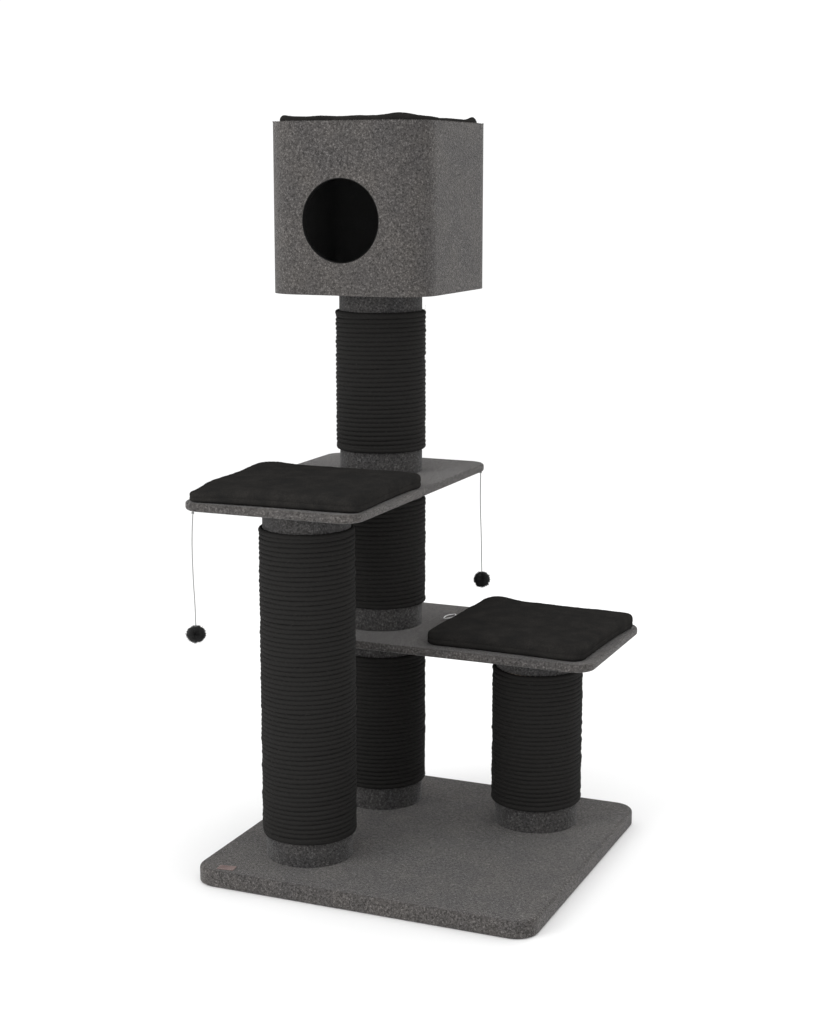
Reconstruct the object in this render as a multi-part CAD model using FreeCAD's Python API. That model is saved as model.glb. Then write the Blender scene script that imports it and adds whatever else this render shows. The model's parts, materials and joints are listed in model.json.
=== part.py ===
"""Cat tree: a plush-covered base, three sisal posts, two shelves, a cube house, three cushions, two toys.

Frame: +Z up, the house entrance faces -Y, +X to the right. The origin is the centre of the base's
underside. All lengths are in millimetres.
"""
import FreeCAD
import Part
import math
import os

os.makedirs("parts", exist_ok=True)
V = FreeCAD.Vector

# ---- driving dimensions ------------------------------------------------------------------------
PLUSH = 1.5                    # thickness of the plush cloth on every board

BASE_W = 755.0                 # base, along X
BASE_D = 740.0                 # base, along Y
BASE_AT = (-3.0, 2.5)          # centre in plan
BASE_LOWER_BOARD = 18.0
BASE_UPPER_BOARD = 15.0
BASE_CORNER = 48.0
BASE_WRAP = 40.0               # how far the base's plush is turned in underneath

SHELF_L = 742.0
SHELF_W = 400.0
SHELF_BOARD = 15.0
SHELF_CORNER = 45.0
UPPER_SHELF_AT = (-205.0, 22.0)      # centre in plan; its length runs along Y
LOWER_SHELF_AT = (-4.5, 206.0)       # centre in plan; its length runs along X

POST_SPACING = 380.0           # square grid that the three posts stand on
TUBE_R = 90.0
TUBE_WALL = 5.0
ROPE_D = 10.0
BAND_T = 2.5                   # plush band round the bare ends of each tube
LOWER_BAND = 52.0
UPPER_BAND = 44.0
SHORT_POST = 404.0             # the right post, and the rear post's lower and upper lengths
MIDDLE_POST = 336.0            # the rear post's length between the shelves
PLUG_T = 18.0

HOUSE_W = 374.0
HOUSE_D = 416.0
HOUSE_H = 363.0
HOUSE_CORNER = 80.0
HOUSE_WALL = 8.0
HOUSE_FLOOR = 15.0
HOUSE_ROOF = 12.0
LINING = 2.0
TRAY_DEPTH = 25.0              # from the house's rim down to its roof board
ENTRANCE_R = 89.0
ENTRANCE_UP = 157.0            # entrance centre above the house's underside

SHELF_CUSHION_T = 35.0
UPPER_CUSHION = (378.0, 334.0)
UPPER_CUSHION_AT = (-199.0, -170.0)
UPPER_CUSHION_CORNER = 20.0
UPPER_CUSHION_TURN = 1.6       # degrees that it lies askew on its shelf
LOWER_CUSHION = (370.0, 350.0)
LOWER_CUSHION_AT = (169.0, 202.0)
LOWER_CUSHION_CORNER = 33.0
LOWER_CUSHION_TURN = -2.4
TOP_CUSHION_T = 36.0
TOP_CUSHION_GAP = 3.0          # between the top cushion and the tray's wall
SOFT_GAP = 0.3                 # between a loose cushion and what it lies on
LOOP_LONG = 56.0               # elastic loop at the lower cushion's left edge
LOOP_SHORT = 24.0
LOOP_T = 2.4
LOOP_AT = (-230.0, 88.0)       # loop centre, from the lower cushion's centre
LOOP_TURN = -7.0
LOOP_TAB_W = 14.0

BOLT_R = 4.9                   # M10 bolts and rods
BOLT_HOLE_R = 5.5
NUT_BARREL_R = 6.2
NUT_FLANGE_R = 14.0
NUT_FLANGE_T = 1.5
ROD_REACH = 30.0               # how far a joining rod goes into each post

TOY_CORD_D = 2.0
POMPOM_R = 18.0
KNOT_R = 3.0
TOY_CLEAR = 0.4                # running gap round each knot
POMPOM_UP = 536.0              # height of both pom-poms' centres

TAG_W = 37.0
TAG_D = 22.0
TAG_T = 1.2
TAG_IN = (70.0, 26.0)          # tag centre, in from the base's left and front edges
TAG_TURN = 7.0                 # degrees that it is stuck on askew

# ---- worked-out places -------------------------------------------------------------------------
BASE_TOP = BASE_LOWER_BOARD + BASE_UPPER_BOARD + 2 * PLUSH
SHELF_T = SHELF_BOARD + 2 * PLUSH
LOWER_SHELF_Z = BASE_TOP + SHORT_POST
LOWER_SHELF_TOP = LOWER_SHELF_Z + SHELF_T
UPPER_SHELF_Z = LOWER_SHELF_TOP + MIDDLE_POST
UPPER_SHELF_TOP = UPPER_SHELF_Z + SHELF_T
HOUSE_Z = UPPER_SHELF_TOP + SHORT_POST
HOUSE_TOP = HOUSE_Z + HOUSE_H
ROOF_TOP = HOUSE_TOP - TRAY_DEPTH
HALF = POST_SPACING / 2
FRONT_POST = (-HALF, -HALF)
REAR_POST = (-HALF, HALF)
RIGHT_POST = (HALF, HALF)
HOUSE_FRONT_Y = REAR_POST[1] - HOUSE_D / 2
ENTRANCE_Z = HOUSE_Z + ENTRANCE_UP
TUBE_IN_R = TUBE_R - TUBE_WALL

# each post: name, place in plan, foot and head heights
POSTS = [
    ("front_post", FRONT_POST, BASE_TOP, UPPER_SHELF_Z),
    ("right_post", RIGHT_POST, BASE_TOP, LOWER_SHELF_Z),
    ("rear_post_lower", REAR_POST, BASE_TOP, LOWER_SHELF_Z),
    ("rear_post_middle", REAR_POST, LOWER_SHELF_TOP, UPPER_SHELF_Z),
    ("rear_post_upper", REAR_POST, UPPER_SHELF_TOP, HOUSE_Z),
]


# ---- small helpers -----------------------------------------------------------------------------
def save(node, shape):
    """Write one node, after checking that every solid in it is sound."""
    for solid in shape.Solids:
        if not solid.isValid() or solid.Volume <= 0:
            raise ValueError(node + " has a bad solid")
    shape.exportStep("parts/" + node + ".step")
    box = shape.BoundBox
    print(f"{node}: {len(shape.Solids)} solids, {box.XLength:.1f} x {box.YLength:.1f} x {box.ZLength:.1f}")


def group(shapes):
    return Part.makeCompound(shapes)


def plate(at, width, depth, z0, z1, corner):
    """Upright prism with a rounded-rectangle plan, centred on at."""
    x0 = at[0] - width / 2
    x1 = at[0] + width / 2
    y0 = at[1] - depth / 2
    y1 = at[1] + depth / 2
    r = min(corner, 0.49 * width, 0.49 * depth)
    k = r * (1 - math.sqrt(0.5))
    edges = [
        Part.LineSegment(V(x0 + r, y0, z0), V(x1 - r, y0, z0)),
        Part.Arc(V(x1 - r, y0, z0), V(x1 - k, y0 + k, z0), V(x1, y0 + r, z0)),
        Part.LineSegment(V(x1, y0 + r, z0), V(x1, y1 - r, z0)),
        Part.Arc(V(x1, y1 - r, z0), V(x1 - k, y1 - k, z0), V(x1 - r, y1, z0)),
        Part.LineSegment(V(x1 - r, y1, z0), V(x0 + r, y1, z0)),
        Part.Arc(V(x0 + r, y1, z0), V(x0 + k, y1 - k, z0), V(x0, y1 - r, z0)),
        Part.LineSegment(V(x0, y1 - r, z0), V(x0, y0 + r, z0)),
        Part.Arc(V(x0, y0 + r, z0), V(x0 + k, y0 + k, z0), V(x0 + r, y0, z0)),
    ]
    wire = Part.Wire([edge.toShape() for edge in edges])
    return Part.Face(wire).extrude(V(0, 0, z1 - z0))


def round_level(shape, z, radius):
    """Fillet every edge of shape that lies flat at height z."""
    flat = [e for e in shape.Edges if abs(e.BoundBox.ZMin - z) < 1e-6 and abs(e.BoundBox.ZMax - z) < 1e-6]
    return shape.makeFillet(radius, flat)


def rod(at, z0, z1, radius):
    return Part.makeCylinder(radius, z1 - z0, V(at[0], at[1], z0))


def ring(at, z0, z1, outer, inner):
    return rod(at, z0, z1, outer).cut(rod(at, z0, z1, inner))


def hexagon(at, z0, height, across_flats):
    """Hexagonal bolt head."""
    reach = across_flats / math.sqrt(3)
    corners = []
    for step in range(7):
        angle = math.radians(60 * step)
        corners.append(V(at[0] + reach * math.cos(angle), at[1] + reach * math.sin(angle), z0))
    return Part.Face(Part.makePolygon(corners)).extrude(V(0, 0, height))


# ---- base --------------------------------------------------------------------------------------
BASE_BOLT_SEAT = PLUSH + 12.0        # the washers' upper face, inside the lower board
COUNTERBORE_R = 17.0
BASE_WASHER_R = 15.0
WASHER_T = 2.0
HEX_HEAD = 6.4
HEX_FLATS = 17.0
BOLT_INTO_POST = 26.0
BASE_TOP_EDGE = min(8.0, 0.5 * BASE_UPPER_BOARD)
BASE_BOTTOM_EDGE = 4.0
POST_PLACES = [FRONT_POST, REAR_POST, RIGHT_POST]


def base_boards():
    split = PLUSH + BASE_LOWER_BOARD
    width = BASE_W - 2 * PLUSH
    depth = BASE_D - 2 * PLUSH
    lower = plate(BASE_AT, width, depth, PLUSH, split, BASE_CORNER - PLUSH)
    lower = round_level(lower, PLUSH, BASE_BOTTOM_EDGE - PLUSH)
    upper = plate(BASE_AT, width, depth, split, BASE_TOP - PLUSH, BASE_CORNER - PLUSH)
    upper = round_level(upper, BASE_TOP - PLUSH, BASE_TOP_EDGE - PLUSH)
    for place in POST_PLACES:
        lower = lower.cut(rod(place, 0, split, BOLT_HOLE_R))
        lower = lower.cut(rod(place, 0, BASE_BOLT_SEAT, COUNTERBORE_R))
        upper = upper.cut(rod(place, split - 1, BASE_TOP, BOLT_HOLE_R))
    return lower, upper


def base_cover_and_liner():
    """Plush round the boards, turned in underneath, and the dark cloth that closes the underside."""
    cover = plate(BASE_AT, BASE_W, BASE_D, 0, BASE_TOP, BASE_CORNER)
    cover = round_level(cover, BASE_TOP, BASE_TOP_EDGE)
    cover = round_level(cover, 0, BASE_BOTTOM_EDGE)
    board_w = BASE_W - 2 * PLUSH
    board_d = BASE_D - 2 * PLUSH
    inside = plate(BASE_AT, board_w, board_d, PLUSH, BASE_TOP - PLUSH, BASE_CORNER - PLUSH)
    inside = round_level(inside, PLUSH, BASE_BOTTOM_EDGE - PLUSH)
    inside = round_level(inside, BASE_TOP - PLUSH, BASE_TOP_EDGE - PLUSH)
    cover = cover.cut(inside)
    liner_w = BASE_W - 2 * BASE_WRAP
    liner_d = BASE_D - 2 * BASE_WRAP
    liner = plate(BASE_AT, liner_w, liner_d, 0, PLUSH, BASE_CORNER / 2)
    cover = cover.cut(liner)
    for place in POST_PLACES:
        cover = cover.cut(rod(place, BASE_TOP - 2 * PLUSH, BASE_TOP + 1, BOLT_HOLE_R))
    return cover, liner


def base_fasteners():
    bolts = []
    washers = []
    for place in POST_PLACES:
        under_washer = BASE_BOLT_SEAT - WASHER_T
        head = hexagon(place, under_washer - HEX_HEAD, HEX_HEAD, HEX_FLATS)
        shank = rod(place, under_washer, BASE_TOP + BOLT_INTO_POST, BOLT_R)
        bolts.append(head.fuse(shank).removeSplitter())
        washers.append(ring(place, under_washer, BASE_BOLT_SEAT, BASE_WASHER_R, BOLT_HOLE_R))
    return group(bolts), group(washers)


def base_tag():
    """Small blank leather tag lying on the base's front left corner."""
    place = (BASE_AT[0] - BASE_W / 2 + TAG_IN[0], BASE_AT[1] - BASE_D / 2 + TAG_IN[1])
    tag = plate(place, TAG_W, TAG_D, BASE_TOP, BASE_TOP + TAG_T, 3.0)
    tag.rotate(V(place[0], place[1], 0), V(0, 0, 1), TAG_TURN)
    return tag


# ---- posts -------------------------------------------------------------------------------------
def post(name, place, z0, z1):
    """One length of post: card tube, plush band at each bare end, sisal winding between."""
    rope_z0 = z0 + LOWER_BAND
    rope_z1 = z1 - UPPER_BAND
    save(name + "_tube", ring(place, z0, z1, TUBE_R, TUBE_IN_R))
    save(name + "_lower_band", ring(place, z0, rope_z0, TUBE_R + BAND_T, TUBE_R))
    save(name + "_upper_band", ring(place, rope_z1, z1, TUBE_R + BAND_T, TUBE_R))
    save(name + "_rope", ring(place, rope_z0, rope_z1, TUBE_R + ROPE_D, TUBE_R))


def plugs_and_nuts():
    """A wooden plug and a flanged nut in each end of each length of post."""
    plugs = []
    nuts = []
    for _, place, z0, z1 in POSTS:
        foot = (z0, z0 + PLUG_T, z0 + PLUG_T)
        head = (z1 - PLUG_T, z1, z1 - PLUG_T - NUT_FLANGE_T)
        for low, high, flange in (foot, head):
            plugs.append(ring(place, low, high, TUBE_IN_R, NUT_BARREL_R))
            nut = ring(place, low, high, NUT_BARREL_R, BOLT_R + 0.1)
            nut = nut.fuse(ring(place, flange, flange + NUT_FLANGE_T, NUT_FLANGE_R, BOLT_R + 0.1))
            nuts.append(nut.removeSplitter())
    return group(plugs), group(nuts)


# ---- bolts through the shelves and the house floor ---------------------------------------------
SINK_DEPTH = 5.0
SINK_R = 13.0
FLAT_HEAD_R = 9.0
FLAT_HEAD_T = 2.5
TOP_WASHER_R = 12.0
TOP_WASHER_T = 1.5
TOP_BOLT_SEAT = PLUSH + SHELF_BOARD - SINK_DEPTH     # above the head of the post


def top_fasteners():
    """Flat-headed bolts that hold the upper shelf, the lower shelf and the house on their posts."""
    bolts = []
    washers = []
    heads = ((FRONT_POST, UPPER_SHELF_Z), (RIGHT_POST, LOWER_SHELF_Z), (REAR_POST, HOUSE_Z))
    for place, post_head in heads:
        seat = post_head + TOP_BOLT_SEAT
        over_washer = seat + TOP_WASHER_T
        shank = rod(place, post_head - BOLT_INTO_POST, over_washer, BOLT_R)
        flat_head = rod(place, over_washer, over_washer + FLAT_HEAD_T, FLAT_HEAD_R)
        bolts.append(shank.fuse(flat_head).removeSplitter())
        washers.append(ring(place, seat, over_washer, TOP_WASHER_R, BOLT_HOLE_R))
    return group(bolts), group(washers)


def joining_rods():
    """Threaded rods that join the rear post's three lengths through the two shelves."""
    rods = []
    for shelf_z in (LOWER_SHELF_Z, UPPER_SHELF_Z):
        rods.append(rod(REAR_POST, shelf_z - ROD_REACH, shelf_z + SHELF_T + ROD_REACH, BOLT_R))
    return group(rods)


# ---- shelves -----------------------------------------------------------------------------------
SHELF_EDGE = min(6.0, 0.33 * SHELF_T)


def shelf(at, width, depth, z0, sunk_at):
    """A board and its plush, with holes for the rear post's rod and for one sunk bolt."""
    z1 = z0 + SHELF_T
    board = plate(at, width - 2 * PLUSH, depth - 2 * PLUSH, z0 + PLUSH, z1 - PLUSH, SHELF_CORNER - PLUSH)
    board = round_level(board, z0 + PLUSH, SHELF_EDGE - PLUSH)
    board = round_level(board, z1 - PLUSH, SHELF_EDGE - PLUSH)
    cover = plate(at, width, depth, z0, z1, SHELF_CORNER)
    cover = round_level(cover, z0, SHELF_EDGE)
    cover = round_level(cover, z1, SHELF_EDGE)
    cover = cover.cut(board)
    for place in (REAR_POST, sunk_at):
        hole = rod(place, z0 - 1, z1 + 1, BOLT_HOLE_R)
        board = board.cut(hole)
        cover = cover.cut(hole)
    sink = rod(sunk_at, z0 + TOP_BOLT_SEAT, z1 + 1, SINK_R)
    return board.cut(sink), cover.cut(sink)


# ---- toys --------------------------------------------------------------------------------------
LEFT_TOY = (-374.0, -340.0)
RIGHT_TOY = (-16.4, 366.0)
KNOT_Z = UPPER_SHELF_Z - TOY_CLEAR - KNOT_R
CORD_TOP = KNOT_Z - KNOT_R - TOY_CLEAR
CORD_FOOT = POMPOM_UP + POMPOM_R - 6.0

# cord routes: sideways steps from the knot, and the share of the way down
LEFT_ROUTE = [
    (0.0, 0.0, 0.0), (-2.6, -1.1, 0.16), (-3.0, -1.2, 0.38),
    (-1.6, -0.7, 0.62), (0.6, 0.3, 0.82), (0.9, 0.4, 1.0),
]
RIGHT_ROUTE = [
    (0.0, 0.0, 0.0), (-0.4, -0.2, 0.18), (0.3, 0.1, 0.38),
    (2.4, 1.0, 0.60), (3.2, 1.3, 0.82), (4.4, 1.9, 1.0),
]


def cord_points(knot, route):
    drop = CORD_TOP - CORD_FOOT
    return [V(knot[0] + dx, knot[1] + dy, CORD_TOP - share * drop) for dx, dy, share in route]


def cord_path(points):
    """Straight runs joined by tangent arcs as large as the runs allow."""
    edges = []
    start = points[0]
    for before, here, after in zip(points, points[1:], points[2:]):
        run_in = (here - before)
        run_out = (after - here)
        turn = run_in.getAngle(run_out)
        back = 0.45 * min(run_in.Length, run_out.Length)
        radius = back / math.tan(turn / 2)
        print(f"  cord arc radius {radius:.0f}")
        inward = V(run_in).normalize()
        outward = V(run_out).normalize()
        p0 = here - inward * back
        p1 = here + outward * back
        to_centre = (outward - inward).normalize()
        centre = here + to_centre * math.hypot(back, radius)
        middle = centre - to_centre * radius
        edges.append(Part.LineSegment(start, p0).toShape())
        edges.append(Part.Arc(p0, middle, p1).toShape())
        start = p1
    edges.append(Part.LineSegment(start, points[-1]).toShape())
    return Part.Wire(edges)


def toy(knot_at, route):
    """A knot under the shelf, the cord that hangs from it and the pom-pom on the cord."""
    knot = Part.makeSphere(KNOT_R, V(knot_at[0], knot_at[1], KNOT_Z))
    points = cord_points(knot_at, route)
    path = cord_path(points)
    circle = Part.Wire(Part.Circle(points[0], points[1] - points[0], TOY_CORD_D / 2).toShape())
    cord = path.makePipeShell([circle], True, False)
    expected = path.Length * math.pi * TOY_CORD_D ** 2 / 4
    print(f"  cord length {path.Length:.1f}, volume {cord.Volume:.1f} of {expected:.1f}")
    end = points[-1]
    ball = Part.makeSphere(POMPOM_R, V(end.x, end.y, POMPOM_UP))
    return knot, cord, ball.cut(cord)


STAPLE_W = 9.0
STAPLE_LEG = 9.0
STAPLE_WIRE = 1.2


def toy_staples():
    """Wire staples that hold each knot's thread to the underside of the upper shelf."""
    staples = []
    for x, y in (LEFT_TOY, RIGHT_TOY):
        corner = V(x - STAPLE_W / 2, y - STAPLE_WIRE / 2, UPPER_SHELF_Z)
        outer = Part.makeBox(STAPLE_W, STAPLE_WIRE, STAPLE_LEG, corner)
        between = V(STAPLE_WIRE, 0, STAPLE_WIRE)
        gap = Part.makeBox(STAPLE_W - 2 * STAPLE_WIRE, STAPLE_WIRE, STAPLE_LEG, corner + between)
        staples.append(outer.cut(gap))
    return group(staples)


# ---- house -------------------------------------------------------------------------------------
SCREW_R = 2.0
SCREW_HEAD_R = 4.0
SCREW_HEAD_T = 2.0
SCREW_L = 34.0
SCREW_STEP = 70.0               # each side of a wall's middle


def house_prism(inset, z0, z1):
    return plate(REAR_POST, HOUSE_W - 2 * inset, HOUSE_D - 2 * inset, z0, z1, HOUSE_CORNER - inset)


def entrance(radius, depth):
    """Cylinder through the front wall."""
    return Part.makeCylinder(radius, depth, V(REAR_POST[0], HOUSE_FRONT_Y, ENTRANCE_Z), V(0, 1, 0))


def house_screws():
    """Two screws through each wall into the floor, and two into the roof board."""
    screws = []
    walls = []
    for side in (-1, 1):
        walls.append((V(-side, 0, 0), HOUSE_W / 2 - PLUSH, V(0, 1, 0)))
        walls.append((V(0, -side, 0), HOUSE_D / 2 - PLUSH, V(1, 0, 0)))
    for z in (HOUSE_Z + PLUSH + HOUSE_FLOOR / 2, ROOF_TOP - HOUSE_ROOF / 2):
        middle = V(REAR_POST[0], REAR_POST[1], z)
        for inward, reach, along in walls:
            for step in (-SCREW_STEP, SCREW_STEP):
                start = middle - inward * reach + along * step
                head = Part.makeCylinder(SCREW_HEAD_R, SCREW_HEAD_T, start, inward)
                shank = Part.makeCylinder(SCREW_R, SCREW_L, start, inward)
                screws.append(head.fuse(shank).removeSplitter())
    return group(screws)


def house():
    """The cube house: bent wall, floor, roof board, plush outside, dark lining inside."""
    wall_in = PLUSH + HOUSE_WALL
    flap_in = wall_in + PLUSH
    lined = wall_in + LINING
    floor_z = HOUSE_Z + PLUSH
    floor_top = floor_z + HOUSE_FLOOR
    rim = HOUSE_TOP - PLUSH
    roof_z = ROOF_TOP - HOUSE_ROOF
    screws = house_screws()
    doorway = entrance(ENTRANCE_R, lined + 20)

    wall = house_prism(PLUSH, floor_z, rim).cut(house_prism(wall_in, floor_z, rim)).cut(doorway).cut(screws)
    floor = house_prism(wall_in, floor_z, floor_top).cut(screws)
    floor = floor.cut(rod(REAR_POST, floor_z, floor_top, BOLT_HOLE_R))
    floor = floor.cut(rod(REAR_POST, HOUSE_Z + TOP_BOLT_SEAT, floor_top, SINK_R))
    roof = house_prism(wall_in, roof_z, ROOF_TOP).cut(screws)

    cover = house_prism(0, HOUSE_Z, HOUSE_TOP)
    cover = cover.cut(house_prism(PLUSH, floor_z, rim))
    cover = cover.cut(house_prism(flap_in, rim - 1, HOUSE_TOP + 1))
    flap = house_prism(wall_in, ROOF_TOP, rim).cut(house_prism(flap_in, ROOF_TOP, rim))
    cover = cover.fuse(flap).removeSplitter()
    cover = cover.cut(doorway).cut(rod(REAR_POST, HOUSE_Z - 1, floor_z + 1, BOLT_HOLE_R))

    lining = house_prism(wall_in, floor_top, roof_z).cut(house_prism(lined, floor_top, roof_z)).cut(doorway)
    sleeve = entrance(ENTRANCE_R, lined).cut(entrance(ENTRANCE_R - PLUSH, lined))
    save("house_wall", wall)
    save("house_floor", floor)
    save("house_roof", roof)
    save("house_cover", cover)
    save("house_lining", lining)
    save("house_floor_mat", house_prism(lined, floor_top, floor_top + LINING))
    save("house_ceiling_lining", house_prism(lined, roof_z - LINING, roof_z))
    save("house_tray_cover", house_prism(flap_in, ROOF_TOP, ROOF_TOP + PLUSH))
    save("entrance_sleeve", sleeve)
    save("house_screws", screws)


# ---- cushions ----------------------------------------------------------------------------------
CUSHION_TOP_EDGE = 13.0
CUSHION_FOOT_EDGE = 8.0
LOOP_TUCK = 14.0                # how far the loop's tab goes in under the cushion's edge


def cushion(at, size, height, z0, corner, turn=0.0):
    """Flat pad with rounded corners and edges, turned by some degrees about its middle."""
    block = plate(at, *size, z0, z0 + height, corner)
    block = round_level(block, z0, min(CUSHION_FOOT_EDGE, 0.25 * height, 0.6 * corner))
    block = round_level(block, z0 + height, min(CUSHION_TOP_EDGE, 0.4 * height, 0.8 * corner))
    block.rotate(V(at[0], at[1], 0), V(0, 0, 1), turn)
    return block


def cushion_loop():
    """White elastic loop sewn to the lower cushion's left edge; it lies on the shelf."""
    centre = (LOWER_CUSHION_AT[0] + LOOP_AT[0], LOWER_CUSHION_AT[1] + LOOP_AT[1])
    z0 = LOWER_SHELF_TOP + SOFT_GAP
    hole_short = LOOP_SHORT - 2 * LOOP_T
    hole_long = LOOP_LONG - 2 * LOOP_T
    oval = plate(centre, LOOP_SHORT, LOOP_LONG, z0, z0 + LOOP_T, LOOP_SHORT / 2)
    oval = oval.cut(plate(centre, hole_short, hole_long, z0, z0 + LOOP_T, hole_short / 2))
    oval.rotate(V(centre[0], centre[1], 0), V(0, 0, 1), LOOP_TURN)
    tab_x0 = centre[0] + LOOP_SHORT / 2 - 1.5 * LOOP_T
    tab_x1 = LOWER_CUSHION_AT[0] - LOWER_CUSHION[0] / 2 + LOOP_TUCK
    corner = V(tab_x0, centre[1] - LOOP_TAB_W / 2, z0)
    tab = Part.makeBox(tab_x1 - tab_x0, LOOP_TAB_W, LOOP_T / 2, corner)
    return oval.fuse(tab).removeSplitter()


# ---- build -------------------------------------------------------------------------------------
def build():
    lower, upper = base_boards()
    save("base_lower_board", lower)
    save("base_upper_board", upper)
    cover, liner = base_cover_and_liner()
    save("base_cover", cover)
    save("base_liner", liner)
    bolts, washers = base_fasteners()
    save("base_bolts", bolts)
    save("base_washers", washers)
    save("base_tag", base_tag())

    for name, place, z0, z1 in POSTS:
        post(name, place, z0, z1)
    plugs, nuts = plugs_and_nuts()
    save("post_plugs", plugs)
    save("post_nuts", nuts)
    bolts, washers = top_fasteners()
    save("top_bolts", bolts)
    save("top_washers", washers)
    save("joining_rods", joining_rods())

    staples = toy_staples()
    board, cover = shelf(LOWER_SHELF_AT, SHELF_L, SHELF_W, LOWER_SHELF_Z, RIGHT_POST)
    save("lower_shelf_board", board)
    save("lower_shelf_cover", cover)
    board, cover = shelf(UPPER_SHELF_AT, SHELF_W, SHELF_L, UPPER_SHELF_Z, FRONT_POST)
    save("upper_shelf_board", board.cut(staples))
    save("upper_shelf_cover", cover.cut(staples))
    save("toy_staples", staples)

    house()

    on_upper = UPPER_SHELF_TOP + SOFT_GAP
    on_lower = LOWER_SHELF_TOP + SOFT_GAP
    in_tray = ROOF_TOP + PLUSH + SOFT_GAP
    upper = cushion(UPPER_CUSHION_AT, UPPER_CUSHION, SHELF_CUSHION_T, on_upper, UPPER_CUSHION_CORNER,
                    UPPER_CUSHION_TURN)
    save("upper_cushion", upper)
    lower = cushion(LOWER_CUSHION_AT, LOWER_CUSHION, SHELF_CUSHION_T, on_lower, LOWER_CUSHION_CORNER,
                    LOWER_CUSHION_TURN)
    loop = cushion_loop()
    save("lower_cushion", lower.cut(loop))
    save("lower_cushion_loop", loop)
    tray_inset = 2 * PLUSH + HOUSE_WALL + TOP_CUSHION_GAP
    top_size = (HOUSE_W - 2 * tray_inset, HOUSE_D - 2 * tray_inset)
    save("top_cushion", cushion(REAR_POST, top_size, TOP_CUSHION_T, in_tray, HOUSE_CORNER - tray_inset))

    for side, knot_at, route in (("left", LEFT_TOY, LEFT_ROUTE), ("right", RIGHT_TOY, RIGHT_ROUTE)):
        knot, cord, pompom = toy(knot_at, route)
        save(side + "_toy_knot", knot)
        save(side + "_toy_cord", cord)
        save(side + "_pompom", pompom)


build()
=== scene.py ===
import json
import math

import bpy
import numpy as np
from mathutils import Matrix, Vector, noise


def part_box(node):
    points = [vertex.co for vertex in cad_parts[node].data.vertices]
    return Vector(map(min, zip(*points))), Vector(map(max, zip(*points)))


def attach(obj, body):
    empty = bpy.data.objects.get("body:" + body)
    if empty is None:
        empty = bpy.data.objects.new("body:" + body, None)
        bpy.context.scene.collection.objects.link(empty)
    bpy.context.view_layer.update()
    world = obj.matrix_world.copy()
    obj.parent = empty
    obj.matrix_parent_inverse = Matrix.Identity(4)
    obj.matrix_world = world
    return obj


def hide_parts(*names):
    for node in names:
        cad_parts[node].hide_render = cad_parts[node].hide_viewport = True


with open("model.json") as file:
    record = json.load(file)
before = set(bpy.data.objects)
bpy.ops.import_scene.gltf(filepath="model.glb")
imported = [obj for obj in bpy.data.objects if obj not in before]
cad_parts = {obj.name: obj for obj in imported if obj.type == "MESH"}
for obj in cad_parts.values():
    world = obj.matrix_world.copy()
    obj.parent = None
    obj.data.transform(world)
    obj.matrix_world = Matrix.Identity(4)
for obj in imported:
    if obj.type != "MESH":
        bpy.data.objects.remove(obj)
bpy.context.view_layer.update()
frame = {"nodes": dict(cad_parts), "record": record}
scene = bpy.context.scene
nodes = frame["nodes"]
TAU = 2 * math.pi
UP = [0.0, 0.0, 1.0]


# ---- camera ------------------------------------------------------------------------------------
CAMERA_AT = (1.4418, -3.4556, 1.4685)
CAMERA_TURN = math.radians(23.196)
CAMERA_DOWN = math.radians(10.695)
SENSOR_WIDTH = 36.0
LENS = 78.53626                # mm

camera_data = bpy.data.cameras.new("camera")
camera_data.sensor_fit = "HORIZONTAL"
camera_data.sensor_width = SENSOR_WIDTH
camera_data.lens = LENS
camera_data.clip_start = 0.05
camera_data.clip_end = 60.0
camera = bpy.data.objects.new("camera", camera_data)
camera.location = CAMERA_AT
camera.rotation_euler = (math.pi / 2 - CAMERA_DOWN, 0.0, CAMERA_TURN)
scene.collection.objects.link(camera)
scene.camera = camera


# ---- mesh helpers ------------------------------------------------------------------------------
def new_mesh_object(name, verts, faces, smooth=True):
    """A mesh object from arrays; faces is a list of index arrays, each of one face size."""
    verts = np.asarray(verts, np.float32)
    mesh = bpy.data.meshes.new(name)
    mesh.vertices.add(len(verts))
    mesh.vertices.foreach_set("co", verts.ravel())
    loops = np.concatenate([np.asarray(f, np.int32).ravel() for f in faces])
    sizes = np.concatenate([np.full(len(f), np.asarray(f).shape[1], np.int32) for f in faces])
    starts = np.concatenate([[0], np.cumsum(sizes)[:-1]]).astype(np.int32)
    mesh.loops.add(len(loops))
    mesh.loops.foreach_set("vertex_index", loops)
    mesh.polygons.add(len(sizes))
    mesh.polygons.foreach_set("loop_start", starts)
    mesh.polygons.foreach_set("use_smooth", np.full(len(sizes), smooth))
    mesh.update(calc_edges=True)
    mesh.validate()
    obj = bpy.data.objects.new(name, mesh)
    scene.collection.objects.link(obj)
    return obj


def sweep(points, reference, radii):
    """Closed tube round points.

    reference is a direction at each point; radii holds one row of radii for each point.
    """
    points = np.asarray(points, float)
    tangent = np.gradient(points, axis=0)
    tangent /= np.linalg.norm(tangent, axis=1)[:, None]
    side = reference - (reference * tangent).sum(1)[:, None] * tangent
    side /= np.linalg.norm(side, axis=1)[:, None]
    other = np.cross(tangent, side)
    count, around = radii.shape
    angle = np.arange(around) * TAU / around
    rings = (points[:, None, :]
             + (radii * np.cos(angle))[:, :, None] * side[:, None, :]
             + (radii * np.sin(angle))[:, :, None] * other[:, None, :])
    verts = np.concatenate([rings.reshape(-1, 3), points[:1], points[-1:]])
    i = np.arange(count - 1)[:, None] * around
    j = np.arange(around)[None, :]
    k = (j + 1) % around
    quads = np.stack([i + j, i + k, i + around + k, i + around + j], -1).reshape(-1, 4)
    first, last = count * around, count * around + 1
    j, k = j.ravel(), k.ravel()
    foot = np.stack([k, j, np.full(around, first)], -1)
    head = np.stack([j, k, np.full(around, last)], -1)
    head[:, :2] += (count - 1) * around
    return verts, quads, np.concatenate([foot, head])


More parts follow.
